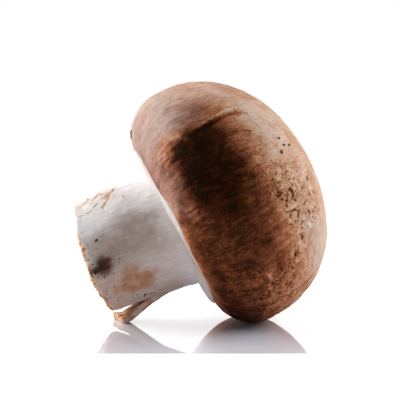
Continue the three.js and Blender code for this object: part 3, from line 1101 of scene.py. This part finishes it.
@dataclass
class Veil:
    """The ring of tissue between the cap's edge and the stem."""

    axes: GrowthAxes
    outline: CapOutline = field(default_factory=CapOutline)
    inner: float = 13.2
    narrow: float = 20.5        # outer radius where the brown skin reaches furthest in
    wide: float = 22.9          # outer radius where the veil overlaps the cap's edge
    wide_at: float = -13.0      # bearing of that overlap, in degrees
    wide_span: float = 17.0
    inside: float = 0.3         # how far the ring reaches into the cap, in mm
    baggy: float = 3.1          # how much further it hangs on the table side, in shares
    steps: int = 400
    rows: int = 30

    # How far the tissue hangs below the cap's underside, at shares of the way out.
    COVER = ((0.0, 0.5), (0.12, 0.35), (0.25, 0.3), (0.45, 0.27), (0.7, 0.24), (0.88, 0.19),
             (0.97, 0.12), (1.0, 0.04))

    def build(self) -> Object:
        """Builds the veil.

        Returns:
            The piece that stands for the CAD veil.
        """
        lower = [(1 + i / self.rows, 0.0) for i in range(self.rows + 1)]
        upper = [(radius, 1.0) for radius, _ in reversed(lower[::3])]
        mesh = to_mesh(turned_shape(lower + upper, self.steps), "veil_tissue")
        block = positions(mesh)
        bearing = bearings(block)
        turn = np.degrees(bearing)
        share = np.hypot(block[:, 0], block[:, 2]) - 1      # 0 beside the stem, 1 at the cap's edge

        # The ragged outer edge, and the cap's skin above the tissue.
        wave = noise_field(wound(bearing, 1.0, 0.0), 0.09, 2.7)
        overlap = bell(turn - self.wide_at, self.wide_span)
        outer = self.narrow + (self.wide - self.narrow) * overlap + 0.3 * wave
        radius = self.inner + (outer - self.inner) * share
        past = np.clip(1 + (radius - self.outline.radius) / self.outline.roll, 0, 1)
        skin = self.outline.widest_at * (1 - np.sqrt(1 - past ** 2))

        # The hanging tissue: baggy towards the table, in folds 0.9 mm apart and lumps of 4 mm.
        folds = noise_field(wound(bearing, 20.0, 0.12 * radius), 0.9, 5.5, 2)
        lumps = noise_field(wound(bearing, radius, 0.0), 4.0, 9.1)
        free = smoothstep(0.0, 0.12, share) * smoothstep(1.0, 0.85, share)
        sag = 1 + self.baggy * np.maximum(np.sin(bearing), 0) ** 4
        cover = np.interp(share, *zip(*self.COVER)) * sag + (0.1 * folds + 0.12 * lumps) * free
        height = np.where(block[:, 1] < 0.5, skin - cover, skin + self.inside)
        points = np.column_stack([np.sin(bearing) * radius, height, np.cos(bearing) * radius])
        set_positions(mesh, self.axes.to_world(points))
        set_attributes(mesh, {
            "edge": smoothstep(0.95, 1.02, share + 0.03 * wave),
            # Painted shade: greyer on the upper side and in the folds, darker and warmer in front
            # beside the stem.
            "shaded": smoothstep(30, -20, np.abs(turn + 30) - 60) + 0.3 * np.abs(folds),
            "warm_shade": smoothstep(-14, 6, turn) * smoothstep(44, 26, turn),
        })
        return add_piece(mesh, VeilTissue().material(), ["veil"])


# ---- stem


@dataclass
class Stem:
    """The trimmed stem, with the flap of skin that peeled away below it."""

    axes: GrowthAxes
    radius: float = 14.1
    length: float = 22.85
    root: float = 1.2
    edge_round: float = 1.0
    end_dome: float = 0.2
    steps: int = 400
    mesh_step: float = 0.24
    hidden_step: float = 3.0        # the mesh step of the end inside the cap
    flap_width: float = 8.6
    flap_sideways: float = -0.7
    flap_thickness: float = 1.7
    flap_slant: float = 0.24        # the tip is cut askew, longer at the back
    peel_depth: float = 0.5

    # Underside of the flap: fall from the margin plane, then distance from the stem's axis, in mm.
    FLAP = ((4.2, 13.7), (5.8, 13.95), (7.2, 14.2), (9.0, 14.65), (10.9, 15.2), (12.8, 15.75),
            (14.7, 16.3), (16.3, 16.72), (17.5, 17.0), (18.6, 17.2))
    FLAP_TIP = 19.9
    FLAP_GRID = ((1, 70), (2, 35), (0, 7))      # cuts along it, across it and through it
    BEND = 9.0      # degrees that the stem is bent towards the table
    SHIFT = 0.5     # mm that its root lies nearer the table than the cap's middle
    STAIN = (  # tan stains
        Patch(20, 44, 9.4, 15.8, (5, 4, 1.6, 1.6), 0.88),  # the large tan stain
        Patch(12, 24, 11.7, 15.4, (5, 4, 1.4, 1.4), 0.6),  # its upper end
        Patch(24, 37, 8.2, 11, (3, 3, 1.2, 1), 0.7),  # its point towards the veil
        Patch(27, 37, 14.5, 18.4, (2.5, 2.5, 1, 1.2), 0.75),  # its point towards the cut
        Patch(48, 110, 2, 22, (14, 30, 2, 1), 0.3),  # the lower side, round the flap
        Patch(7, 66, 15.5, 22.5, (9, 14, 2.5, 1), 0.28),  # below the cut edge
        Patch(-28, 6, 17.5, 22.5, (9, 9, 2.5, 1), 0.12),  # above the smear
        Patch(8, 90, 2, 24, (12, 14, 3, 1), 0.16),  # all of the lower front
    )
    OLIVE_AND_SHADE = (  # greenish-grey tone with painted shade, darkest across the front
        Patch(-36, 10, 3, 15, (11, 18, 3.5, 5), 0.85),  # the front, near the cap
        Patch(-26, 12, 11.5, 20.5, (10, 14, 3, 3.5), 0.76),  # the same, near the cut
        Patch(6, 95, 4, 26, (20, 10, 5, 2), 0.48),  # the lower front
        Patch(-80, 20, -3, 2.4, (10, 20, 1, 3), 0.35),  # the root, above
        Patch(-16, 84, 15, 26, (14, 10, 4, 2), 0.12),  # the end
        Patch(130, 200, 4, 16, (20, 20, 4, 4), 0.5),  # the back
    )
    SMEAR = (4.6, 18.9, 2.8, 2.5)           # bearing, fall and half sizes
    SMEAR_CORE = (6.4, 21.7, 0.9, 1.8)
    SMEAR_HALO = (-6.0, 17.5, 5.5, 5.0)
    FRAYED = Patch(-104, -58, 10.5, 23, (10, 6, 2, 1), 0.3)    # thin torn skin, upper side
    TORN = (  # paths of torn skin (bearing, fall), with their half width in mm
        (((-84, 10.4), (-76, 11.3), (-68, 12.3), (-61, 12.9)), 0.26),
        (((-70, 12.3), (-67, 12.8)), 0.75), (((-92, 15.0), (-84, 14.8), (-77, 15.2), (-72, 16.4)), 0.3),
        (((-88, 17.4), (-80, 17.0), (-74, 18.2), (-70, 19.6)), 0.3), (((-76, 12.8), (-74, 14.2)), 0.3),
        (((-58, 13.6), (-55.5, 14.2)), 0.4), (((-54, 18.0), (-53, 19.2), (-53.5, 20.4)), 0.28),
        (((-62, 15.5), (-57, 17.4)), 0.18), (((-95, 12.5), (-105, 14.0)), 0.4),
        (((150, 15.0), (165, 17.0)), 0.4),
    )
    TEAR_CORES = (  # where the torn skin dried darkest
        Mark(-69.0, 12.6, 0.5, 0.62), Mark(-78.0, 11.1, 0.35, 0.5), Mark(-54.0, 20.0, 0.3, 0.5),
        Mark(-54.5, 18.6, 0.3, 0.4), Mark(-80.0, 14.9, 0.35, 0.45),
    )
    UNEVEN = ((9.0, 8.8), (2.6, 2.2), (0.9, 5.1))     # size in mm and seed: slow, rough, fine
    WANDER = (  # how far a wild, an eased and a soft outline stray, with the rough and the fine
        # unevenness: radians round, then mm along
        (0.07, 0.02, 1.1, 0.3), (0.035, 0.02, 0.55, 0.4), (0.012, 0.01, 0.2, 0.2),
    )

    def build(self) -> list[Object]:
        """Builds the stem and its flap.

        Returns:
            The two pieces.
        """
        material = StemFlesh(self.axes).material()
        return [self._build_body(material), self._build_flap(material)]

    def _build_body(self, material: Material) -> Object:
        """Builds the stem without its flap.

        Args:
            material: The finish.

        Returns:
            The piece that stands for the CAD stem.
        """
        end, face = -self.length, self.radius - self.edge_round
        corners = [(0.0, end)]
        corners += [(face * i / 6, end + self.end_dome * (i / 6) ** 2) for i in range(1, 7)]
        corners += [(face + self.edge_round * math.sin(a),
                     end + self.end_dome + self.edge_round * (1 - math.cos(a)))
                    for a in (0.4, 0.8, 1.2, math.pi / 2)]
        corners += [(self.radius, self.root), (0.0, self.root)]
        skin = outline_steps(corners[:-1], self.mesh_step)
        hidden = outline_steps(corners[-2:], self.hidden_step)[1:]
        mesh = to_mesh(turned_shape(skin + hidden, self.steps), "stem_flesh")
        grown = self._grow(positions(mesh))
        set_positions(mesh, grown)
        relief, masks = self._relief(grown)
        set_positions(mesh, self.axes.to_world(grown + normals(mesh) * relief[:, None]))
        set_attributes(mesh, masks)
        return add_piece(mesh, material, ["stem"])

    def _beside_flap(self, points: np.ndarray) -> np.ndarray:
        """Distance from the flap's middle line in shares of half its width, large away from it."""
        share = np.abs(points[:, 2] + self.flap_sideways) / (self.flap_width / 2)
        return share + 9 * smoothstep(0.85, 0.5, points[:, 0] / self.radius)

    def _cut_askew(self, points: np.ndarray) -> np.ndarray:
        """How much shorter the knife left the stem towards its sides, in mm."""
        low, front = points[:, 0] / self.radius, points[:, 2] / self.radius
        return (1.8 * smoothstep(0.2, 0.95, low) + 0.7 * smoothstep(0.82, 1.02, low)
                + 0.7 * smoothstep(-0.55, -0.95, low) + 1.0 * smoothstep(0.4, -0.9, front))

    def _grow(self, points: np.ndarray) -> np.ndarray:
        """Gives a straight stem its flare, its worn edges and the bare patch above the flap.

        Args:
            points: Vertices of the straight stem, in local mm.

        Returns:
            The moved vertices.
        """
        bearing = bearings(points)
        fall = -points[:, 1]
        fall = fall - self._cut_askew(points) * smoothstep(12, self.length, fall)
        root_flare = 0.012 + 0.05 * smoothstep(-35, -65, np.degrees(bearing))
        scale = 0.99 + 0.03 * smoothstep(0, self.length, fall)
        scale += root_flare * smoothstep(2.6, -0.4, fall) ** 2
        upper = np.maximum(0, np.cos(bearing + math.radians(68)))
        scale *= 1 - 0.10 * upper * smoothstep(11.5, self.length, fall)
        bare = smoothstep(1.15, 0.85, self._beside_flap(points)) * smoothstep(5.5, 9.0, fall)
        scale -= self.peel_depth / self.radius * bare
        return np.column_stack([points[:, 0] * scale, -fall, points[:, 2] * scale])

    def _relief(self, points: np.ndarray) -> tuple[np.ndarray, dict]:
        """Height of the relief in mm, and the masks that colour it.

        Args:
            points: The smooth shape, in local mm.

        Returns:
            The relief, and a dict of attribute name to values.
        """
        bearing = bearings(points)
        turn = np.degrees(bearing)
        radius = np.hypot(points[:, 0], points[:, 2])
        fall = -points[:, 1]
        grain = wound(bearing, self.radius, fall)
        slow, rough, fine = (noise_field(points, *grade) for grade in self.UNEVEN)
        fibres = noise_field(grain * (1.0, 1.0, 0.18), 0.9, 3.3, 2)
        skin = SkinMap(bearing, fall, np.maximum(radius, 1.0))
        warped, eased, soft = (skin.shifted(a * rough + b * fine, c * rough + d * fine)
                               for a, b, c, d in self.WANDER)
        side = smoothstep(self.radius - 3.2, self.radius - 2.0, radius)     # 1 on the skin
        cut = (1 - side) * (fall > self.length / 2)                         # 1 on the cut face

        # The smear of dark juice, its core, the faint halo round it, and the dried tears.
        smear = smoothstep(1.35, 0.25, soft.spot(*self.SMEAR))
        core = smoothstep(1.3, 0.3, soft.spot(*self.SMEAR_CORE))
        halo = smoothstep(1.3, 0.1, eased.spot(*self.SMEAR_HALO))
        dried = np.maximum.reduce([mark.on(soft) for mark in self.TEAR_CORES])
        dark = (0.7 + 0.14 * fine) * smear + 0.5 * core + 0.13 * halo + 0.42 * dried

        # The brown edge of the cut, clean at the top, and the tan rings on its face.
        to_end = self.length - 0.5 - fall - self._cut_askew(points)
        edge = smoothstep(0.7, 0.1, to_end + 0.45 * rough + 0.25 * fine)
        edge *= 1 - smoothstep(-26, -46, turn) * smoothstep(-140, -110, turn)
        ring = bell(radius - 0.72 * self.radius + 0.8 * slow, 1.6)
        rings = (0.24 + 0.3 * smoothstep(0.72, 0.95, radius / self.radius + 0.08 * rough)
                 + 0.16 * ring + 0.22 * np.maximum(fine, 0) + 0.18 * np.maximum(rough, 0))

        # The torn skin: thin tears, the bare patch above the flap and frayed skin.
        tears = np.zeros(len(points))
        for path, width in self.TORN:
            reach = warped.from_path(path) / width + 0.7 * fine
            tears = np.maximum(tears, smoothstep(1.9, 0.3, reach))
        bare = smoothstep(1.1, 0.9, self._beside_flap(points)) * smoothstep(5.5, 8.0, fall)
        frayed = self.FRAYED.on(warped) * (0.6 + 0.8 * fine + 0.5 * rough)
        torn = np.maximum.reduce([0.85 * edge * side, rings * cut, 0.85 * tears, 0.9 * bare * side,
                                  frayed * side])

        knife = np.sin(2.2 * points[:, 0] + 0.9 * points[:, 2] + 1.5 * slow)    # marks 2.6 mm apart
        relief = (0.16 * slow + 0.08 * rough + 0.02 * fine + 0.025 * fibres) * side
        relief += cut * (0.1 * rough + 0.07 * fine + 0.05 * knife)
        relief += edge * side * (0.36 * fine + 0.16 * rough) - 0.13 * tears * side - 0.12 * core
        # Greenish-grey tone with painted shade, darkest across the front of the stem.
        olive_and_shade = layered(self.OLIVE_AND_SHADE, warped) * (1 + 0.2 * rough + 0.1 * fine)
        return relief * smoothstep(-self.root - 0.1, 0, fall), {
            "grain": grain, "stain": layered(self.STAIN, eased) * side,
            "olive_and_shade": np.clip(olive_and_shade, 0, 1) * side, "smear": np.clip(dark, 0, 1) * side,
            "torn": np.clip(torn, 0, 1),
        }

    def _table_at(self, fall: np.ndarray) -> np.ndarray:
        """Local x of the table below the stem's axis, at a fall from the margin plane."""
        up = np.array(self.axes.turn)[2]
        height = self.axes.origin.z / MM
        return (height - fall * up[1]) / -up[0]

    def _build_flap(self, material: Material) -> Object:
        """Builds the flap: a strip of skin that bends down from the stem to the table.

        Args:
            material: The finish.

        Returns:
            The flap. The CAD has it in the stem's node.
        """
        bm = bmesh.new()
        bmesh.ops.create_cube(bm, size=2.0)
        for axis, cuts in self.FLAP_GRID:
            along = [e for e in bm.edges if abs(e.verts[0].co[axis] - e.verts[1].co[axis]) > 1]
            bmesh.ops.subdivide_edges(bm, edges=along, cuts=cuts, use_grid_fill=True)
        mesh = to_mesh(bm, "stem_flap")
        block = positions(mesh)
        side = block[:, 2]                      # -1 at the back, 1 at the front
        share = (1 - block[:, 1]) / 2           # 0 at the root, 1 at the tip
        depth = (1 - block[:, 0]) / 2           # 0 on the lower side, 1 on the inner side
        flat = np.zeros(len(block))

        # Its width, tapered and ragged, and its slanted, notched tip.
        ragged = noise_field(np.column_stack([side * 2, share * 9, flat]), 0.9, 6.6, 2)
        wide = side * self.flap_width / 2 * (1 - 0.12 * share) * (1 + 0.05 * ragged)
        wide = wide - self.flap_sideways
        notch = noise_field(np.column_stack([wide, flat, flat]), 1.3, 2.9, 2)
        tip = self.FLAP_TIP - self.flap_slant * (wide + self.flap_sideways) + 0.4 * notch

        # Its bend, from the stem's round side to the flat table, and its thickness.
        falls, reaches = zip(*self.FLAP)
        fall = falls[0] + (tip - falls[0]) * share
        under = np.where(fall > falls[-1], self._table_at(fall), np.interp(fall, falls, reaches))
        drop = self.radius - np.sqrt(self.radius ** 2 - wide ** 2)
        drop *= smoothstep(0.95, 0.35, share)
        thick = self.flap_thickness * smoothstep(-0.25, 0.3, share)
        points = np.column_stack([under - drop - thick * depth, -fall, wide])
        set_positions(mesh, points)
        rough = noise_field(points, 1.6, 4.4)
        fibres = noise_field(points * (1.0, 0.2, 1.0), 0.6, 6.1, 2)
        points = points + normals(mesh) * (0.07 * rough + 0.03 * fibres)[:, None]
        set_positions(mesh, pressed(self.axes.to_world(points)))

        inner = smoothstep(0.55, 0.8, depth + 0.1 * rough)
        bottom = smoothstep(0.25, 0.0, depth) * smoothstep(0.2, 0.6, share)
        set_attributes(mesh, {
            "grain": np.column_stack([wide, points[:, 0], fall]),
            "stain": np.clip(0.5 + 0.25 * rough + 0.2 * bottom, 0, 1), "olive_and_shade": flat, "smear": flat,
            "torn": np.clip(np.maximum(inner, 0.4 + 0.25 * rough), 0, 1),
        })
        return add_piece(mesh, material)


# ---- peat


@dataclass
class Peat:
    """Crumbs of peat, each grown from its CAD node's own solid and pressed to the skin."""

    proud: float = 0.1          # how far a crumb's middle stands off the skin
    grit: float = 0.45          # width of its bumps, in mm
    roughness: float = 0.25     # height of its bumps, in mm
    shrink: float = 0.62        # its size, in shares of the CAD solid's
    flatness: float = 0.55      # its thickness, in shares of its width

    def build(self, pieces: Sequence[Object]) -> list[Object]:
        """Builds a rough crumb for each CAD node whose name starts with peat.

        Args:
            pieces: The built cap and stem, whose skin the crumbs stick to.

        Returns:
            The crumbs.
        """
        material = DriedPeat().material()
        under = [skin_tree(piece) for piece in pieces]
        names = sorted(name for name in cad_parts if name.startswith("peat"))
        return [self._crumb(name, under, material) for name in names]

    def _crumb(self, name: str, under: list[BVHTree],
               material: Material) -> Object:
        """Builds a rough crumb.

        Args:
            name: The CAD node whose solid it grows from.
            under: Search trees of the skins that it may stick to.
            material: The finish.

        Returns:
            The crumb.
        """
        low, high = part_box(name)
        middle = (low + high) / 2
        spot, outward, _, _ = min((tree.find_nearest(middle) for tree in under), key=lambda hit: hit[3])
        bm = bmesh.new()
        bm.from_mesh(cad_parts[name].data)
        bmesh.ops.remove_doubles(bm, verts=bm.verts, dist=1e-6)
        bmesh.ops.subdivide_edges(bm, edges=bm.edges[:], cuts=2, use_grid_fill=True, smooth=0.6)
        mesh = to_mesh(bm, name + "_rough")
        points = positions(mesh)
        bumps = noise_field(points / MM, self.grit, 1.9) * self.roughness * MM
        off = np.array(outward)
        around = points - np.array(middle)
        flat = around - np.outer(around @ off, off) * (1 - self.flatness)
        moved = flat * self.shrink + normals(mesh) * bumps[:, None]
        set_positions(mesh, moved + np.array(spot) + off * self.proud * MM)
        return add_piece(mesh, material, [name])


@dataclass
class PeatDust:
    """The specks of peat too small for a node of their own, joined into one piece."""

    axes: dict[str, GrowthAxes]
    seed: int = 7
    sink: float = 0.25          # share of a speck's radius below the skin
    smallest: float = 0.06      # radius of a strewn speck, in mm
    largest: float = 0.2
    outside: float = 50.0       # mm from the axis, where there is no skin

    # Bearing in degrees, height above the margin plane and radius in mm.
    ON_STEM = (
        (-13, -19.0, 0.14), (-5, -16.2, 0.13), (-5, -15.0, 0.13), (3, -15.0, 0.17), (15, -19.6, 0.22),
        (13, -21.0, 0.2), (18, -11.9, 0.12), (46, -18.4, 0.2), (55, -10.6, 0.2), (56, -9.9, 0.15),
        (54, -8.4, 0.18), (34, -7.1, 0.12), (27, -18.2, 0.12), (-57, -9.5, 0.16), (-9, -15.6, 0.1),
        (-1, -13.6, 0.1), (8, -16.8, 0.12), (9, -21.2, 0.24), (0, -21.2, 0.2), (48, -13.8, 0.14),
        (50, -15.0, 0.14), (57, -12.4, 0.16), (30, -20.2, 0.15), (38, -19.8, 0.14), (47, -9.4, 0.12),
    )
    ON_CAP = (
        (-26, 28.9, 0.16), (-20, 30.8, 0.1), (-18, 31.2, 0.12), (-21, 28.0, 0.13), (-17.5, 28.6, 0.16),
        (-12, 25.6, 0.17), (-12.5, 27.0, 0.1), (-24, 30.4, 0.1), (-10, 24.8, 0.1),
    )
    STREWN = (  # bearings, heights, how many: at the cut's edge, on the lower side, behind
        (-20, 75, -22.3, -20.5, 34), (5, 75, -21.0, -12.0, 9), (110, 250, -21.5, -6.0, 20),
    )

    def build(self, pieces: dict[str, Object]) -> Object:
        """Builds the specks.

        Args:
            pieces: The cap's and the stem's pieces, by the names used in axes.

        Returns:
            The joined piece.
        """
        chance = np.random.default_rng(self.seed)
        spread = self.largest - self.smallest
        strewn = [(chance.uniform(left, right), chance.uniform(low, high),
                   self.smallest + spread * chance.random() ** 2)
                  for left, right, low, high, count in self.STREWN for _ in range(count)]
        bm = bmesh.new()
        for name, specks in (("cap", self.ON_CAP), ("stem", (*self.ON_STEM, *strewn))):
            tree = skin_tree(pieces[name])
            for speck in specks:
                self._add_speck(bm, tree, self.axes[name], speck, chance)
        mesh = to_mesh(bm, "peat_dust")
        return add_piece(mesh, DriedPeat().material())

    def _add_speck(self, bm: bmesh.types.BMesh, tree: BVHTree, axes: GrowthAxes,
                   speck: tuple[float, float, float], chance: np.random.Generator) -> None:
        """Adds one speck where a line from outside towards the axis meets the skin.

        Args:
            bm: The shape that all specks are joined in.
            tree: Search tree of the skin.
            axes: The skin's growth frame.
            speck: Bearing, height and radius.
            chance: The source of its random shape.
        """
        bearing, height, radius = speck
        angle = math.radians(bearing)
        out = axes.turn @ Vector((math.sin(angle), 0.0, math.cos(angle)))
        start = axes.origin + axes.turn @ Vector((0.0, height * MM, 0.0)) + out * self.outside * MM
        spot, outward, _, _ = tree.ray_cast(start, -out)
        if spot is None:
            return
        size = [radius * MM * chance.uniform(0.7, 1.3) for _ in range(3)]
        turn = Matrix.Rotation(chance.uniform(0, math.tau), 4, "Z")
        place = Matrix.Translation(spot + outward * radius * MM * (0.5 - self.sink))
        bmesh.ops.create_icosphere(bm, subdivisions=1, radius=1.0,
                                   matrix=place @ turn @ Matrix.Diagonal((*size, 1.0)))


# ---- studio


@dataclass
class Studio:
    """A glossy white table in a white studio, with soft lamps at both sides and behind."""

    azimuth: float = -6.0
    elevation: float = 5.0
    lens: float = 120.0             # mm
    frame_width: float = 95.6       # mm across the view, at the mushroom
    aim_above: float = 0.33         # mm that the camera stands above the middle's level
    table_size: float = 0.7         # metres
    table_gap: float = 0.02         # mm below the mushroom
    ambient: float = 0.14           # the world's strength as a light

    LAMPS = (   # name, place from the middle and size in metres, power in watts
        ("lamp_left", (-0.7, 0.25, 0.35), 0.6, 9.6),
        ("lamp_right", (0.66, 0.12, 0.45), 0.6, 4.9),
        ("lamp_behind", (0.0, 0.75, 0.42), 0.9, 2.3),
    )

    def build(self) -> None:
        """Builds the table, the world, the lamps and the camera."""
        self._table()
        self._world()
        middle = (CAD_BOX[0] + CAD_BOX[1]) / 2
        for name, place, size, power in self.LAMPS:
            data = bpy.data.lights.new(name, "AREA")
            data.shape, data.size, data.energy = "SQUARE", size, power
            self._place(name, data, middle + Vector(place), -Vector(place))
        self._camera(middle)

    def _place(self, name: str, data: bpy.types.ID, place: Vector, aim: Vector) -> Object:
        """Adds a lamp or a camera.

        Args:
            name: The object's name.
            data: The lamp or the camera.
            place: Where it stands.
            aim: The direction in which it faces.

        Returns:
            The object.
        """
        made = bpy.data.objects.new(name, data)
        bpy.context.scene.collection.objects.link(made)
        made.location = place
        made.rotation_euler = aim.to_track_quat("-Z", "Y").to_euler()
        return made

    def _table(self) -> None:
        """Adds the table top."""
        bm = bmesh.new()
        bmesh.ops.create_grid(bm, x_segments=1, y_segments=1, size=self.table_size / 2)
        bmesh.ops.translate(bm, verts=bm.verts, vec=(0, 0, -self.table_gap * MM))
        mesh = to_mesh(bm, "table_top")
        angle = math.radians(self.azimuth)
        mesh.materials.append(PolishedAcrylic((math.sin(angle), -math.cos(angle), 0.0)).material())
        table = bpy.data.objects.new("table_top", mesh)
        bpy.context.scene.collection.objects.link(table)

    def _world(self) -> None:
        """Makes a plain world: white to look at and to reflect, dimmer as a light."""
        world = bpy.data.worlds.new("studio")
        bpy.context.scene.world = world
        world.use_nodes = True
        tree = world.node_tree
        seen, *others = (add_node(tree, "LightPath", name) for name in (
            "Is Camera Ray", "Is Glossy Ray", "Is Transmission Ray"))
        for kind in others:
            seen = add_node(tree, "Math", "Value", {0: seen, 1: kind}, operation="MAXIMUM")
        background = tree.nodes["Background"]
        background.inputs["Color"].default_value = (1.0, 1.0, 1.0, 1.0)
        connect(tree, background.inputs["Strength"], add_node(tree, "MapRange", "Result", {
            "Value": seen, "To Min": self.ambient, "To Max": 1.0}))

    def _camera(self, middle: Vector) -> None:
        """Adds the camera.

        Args:
            middle: The middle of the mushroom's box, just above which it aims.
        """
        data = bpy.data.cameras.new("camera")
        data.lens = self.lens
        data.clip_start, data.clip_end = 0.01, 20.0
        distance = self.frame_width * MM * self.lens / data.sensor_width
        azimuth, elevation = math.radians(self.azimuth), math.radians(self.elevation)
        back = Vector((math.sin(azimuth) * math.cos(elevation),
                       -math.cos(azimuth) * math.cos(elevation), math.sin(elevation)))
        place = middle + back * distance + Vector((0, 0, self.aim_above * MM))
        bpy.context.scene.camera = self._place("camera", data, place, -back)


def main() -> None:
    """Builds the mushroom and its studio."""
    logging.basicConfig(level=logging.INFO, format="%(name)s: %(message)s")
    cap_axes = GrowthAxes.of_flat(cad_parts["cap"])
    stem_axes = cap_axes.bent(Stem.BEND, Stem.SHIFT)
    LOG.info("margin plane's middle at %s", tuple(round(c / MM, 2) for c in cap_axes.origin))
    cap = Cap(cap_axes).build()
    Veil(cap_axes).build()
    stem, _ = Stem(stem_axes).build()
    Peat().build([cap, stem])
    PeatDust({"cap": cap_axes, "stem": stem_axes}).build({"cap": cap, "stem": stem})
    Studio().build()
    bpy.context.scene.view_settings.view_transform = "Standard"


if __name__ == "__main__":
    main()
